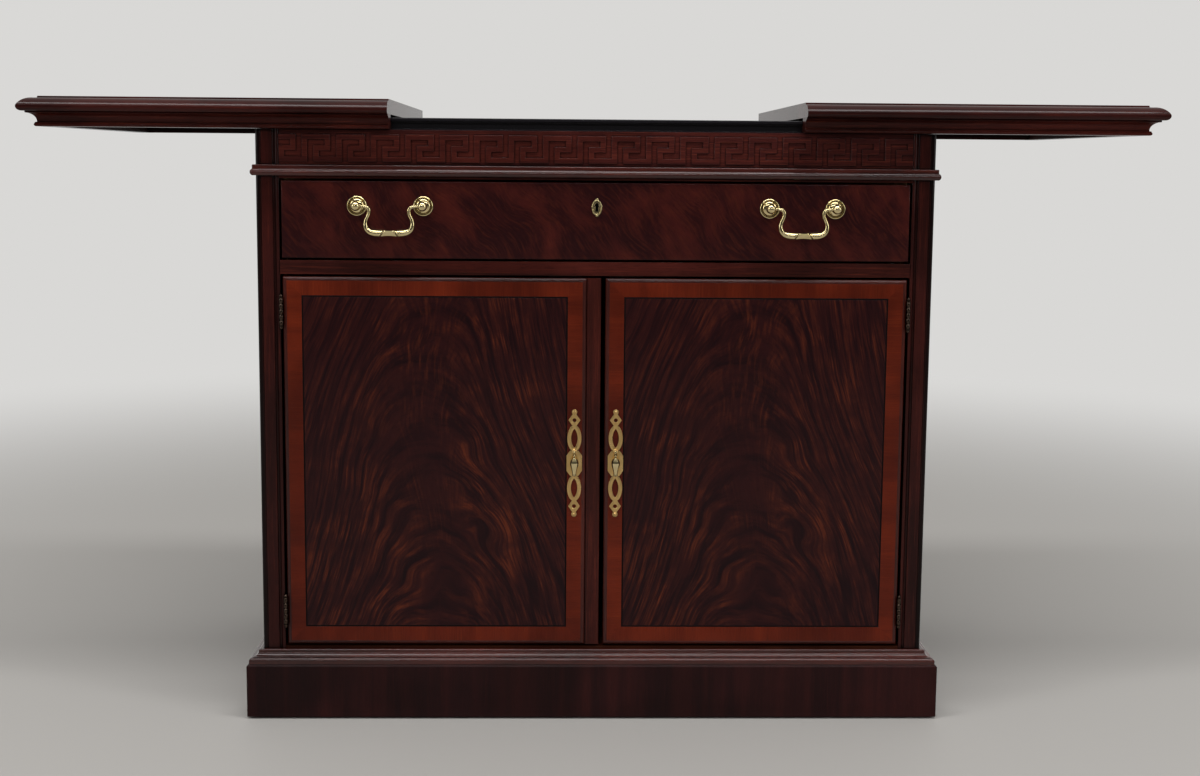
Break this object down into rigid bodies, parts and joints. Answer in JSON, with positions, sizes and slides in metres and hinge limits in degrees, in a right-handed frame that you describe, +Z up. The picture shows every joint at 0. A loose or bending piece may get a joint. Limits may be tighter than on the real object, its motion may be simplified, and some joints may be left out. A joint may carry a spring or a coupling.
{
  "type": "drinks cabinet",
  "caption": "Mahogany drinks cabinet with a key-pattern frieze, a drawer over a pair of veneered doors, and top leaves that slide apart over a black serving top.",
  "frame": {"origin": "on the floor under the middle of the cabinet, with the top leaves open", "axes": "+X to the right seen from the front, +Y towards the back, +Z up; the drawer and doors face -Y"},
  "size_m": [1.528, 0.508, 0.85],
  "materials": {
    "polished_mahogany": "dark red-brown mahogany under gloss lacquer",
    "mahogany_inside": "stained mahogany, satin",
    "crotch_mahogany_veneer": "flame-figured crotch mahogany under gloss lacquer",
    "straight_crossband_veneer": "cross-grained mahogany banding under gloss lacquer",
    "swirl_mahogany_veneer": "mottled swirl mahogany under gloss lacquer",
    "dark_stringing": "blackened stringing line under gloss lacquer",
    "secondary_wood": "plain pale hardwood, thin sealer",
    "black_laminate": "black heat-proof laminate, satin gloss",
    "antique_brass": "cast brass, lightly toned and polished",
    "aged_bronze": "brass toned to dark bronze",
    "brown_plastic": "moulded brown plastic",
    "plated_steel": "nickel-plated steel"
  },
  "bodies": {
    "root": {"plinth_boards": "polished_mahogany", "base_mouldings": "polished_mahogany", "corner_blocks": "secondary_wood", "floor_glides": "plated_steel", "cabinet_floor": "mahogany_inside", "side_panels": "polished_mahogany", "front_posts": "polished_mahogany", "back_panel": "secondary_wood", "frieze_board": "polished_mahogany", "frieze_fret": "polished_mahogany", "waist_mouldings": "polished_mahogany", "waist_rail": "polished_mahogany", "drawer_rail": "polished_mahogany", "dust_panel": "secondary_wood", "drawer_runners": "secondary_wood", "drawer_kickers": "secondary_wood", "sub_top": "mahogany_inside", "serving_top": "black_laminate", "slide_tracks": "secondary_wood", "shelf": "mahogany_inside", "shelf_pins": "antique_brass", "hinge_frame_leaves": "aged_bronze", "hinge_pins": "aged_bronze", "door_catches": "brown_plastic"},
    "left_leaf": {"left_leaf_slab": "polished_mahogany", "left_leaf_mouldings": "polished_mahogany", "left_leaf_back_rail": "polished_mahogany", "left_leaf_runners": "secondary_wood"},
    "right_leaf": {"right_leaf_slab": "polished_mahogany", "right_leaf_mouldings": "polished_mahogany", "right_leaf_back_rail": "polished_mahogany", "right_leaf_runners": "secondary_wood"},
    "drawer": {"drawer_front": "swirl_mahogany_veneer", "drawer_sides": "secondary_wood", "drawer_back": "secondary_wood", "drawer_bottom": "secondary_wood", "drawer_lock": "antique_brass", "keyhole_escutcheon": "antique_brass", "pull_rosettes": "antique_brass", "pull_posts": "antique_brass"},
    "lock_bolt": {"drawer_lock_bolt": "antique_brass"},
    "left_bail": {"left_pull_bail": "antique_brass"},
    "right_bail": {"right_pull_bail": "antique_brass"},
    "left_door": {"left_door_core": "polished_mahogany", "left_door_crossband": "straight_crossband_veneer", "left_door_stringing": "dark_stringing", "left_door_veneer": "crotch_mahogany_veneer", "left_door_hinge_leaves": "aged_bronze", "left_door_pull_plate": "antique_brass", "left_door_strike": "plated_steel", "left_door_astragal": "polished_mahogany"},
    "right_door": {"right_door_core": "polished_mahogany", "right_door_crossband": "straight_crossband_veneer", "right_door_stringing": "dark_stringing", "right_door_veneer": "crotch_mahogany_veneer", "right_door_hinge_leaves": "aged_bronze", "right_door_pull_plate": "antique_brass", "right_door_strike": "plated_steel"},
    "left_drop": {"left_door_drop": "antique_brass"},
    "right_drop": {"right_door_drop": "antique_brass"}
  },
  "joints": [
    {"name": "left_leaf_slide", "type": "slide", "parent": "root", "child": "left_leaf", "axis": [1, 0, 0], "range_m": [0, 0.278]},
    {"name": "right_leaf_slide", "type": "slide", "parent": "root", "child": "right_leaf", "axis": [-1, 0, 0], "range_m": [0, 0.278]},
    {"name": "drawer_slide", "type": "slide", "parent": "root", "child": "drawer", "axis": [0, -1, 0], "range_m": [0, 0.3]},
    {"name": "lock_bolt_lift", "type": "slide", "parent": "drawer", "child": "lock_bolt", "axis": [0, 0, 1], "range_m": [0, 0.006]},
    {"name": "left_door_hinge", "type": "hinge", "parent": "root", "child": "left_door", "pos_m": [-0.4255, -0.2305, 0.3563], "axis": [0, 0, -1], "range_deg": [0, 170]},
    {"name": "right_door_hinge", "type": "hinge", "parent": "root", "child": "right_door", "pos_m": [0.4255, -0.2305, 0.3563], "axis": [0, 0, 1], "range_deg": [0, 170]},
    {"name": "left_bail_swing", "type": "hinge", "parent": "drawer", "child": "left_bail", "pos_m": [-0.27814, -0.242, 0.70782], "axis": [-1, 0, 0], "range_deg": [0, 95]},
    {"name": "right_bail_swing", "type": "hinge", "parent": "drawer", "child": "right_bail", "pos_m": [0.27814, -0.242, 0.70782], "axis": [-1, 0, 0], "range_deg": [0, 95]},
    {"name": "left_drop_swing", "type": "hinge", "parent": "left_door", "child": "left_drop", "pos_m": [-0.0283, -0.2371, 0.3742], "axis": [-1, 0, 0], "range_deg": [0, 80]},
    {"name": "right_drop_swing", "type": "hinge", "parent": "right_door", "child": "right_drop", "pos_m": [0.0283, -0.2371, 0.3742], "axis": [-1, 0, 0], "range_deg": [0, 80]}
  ]
}
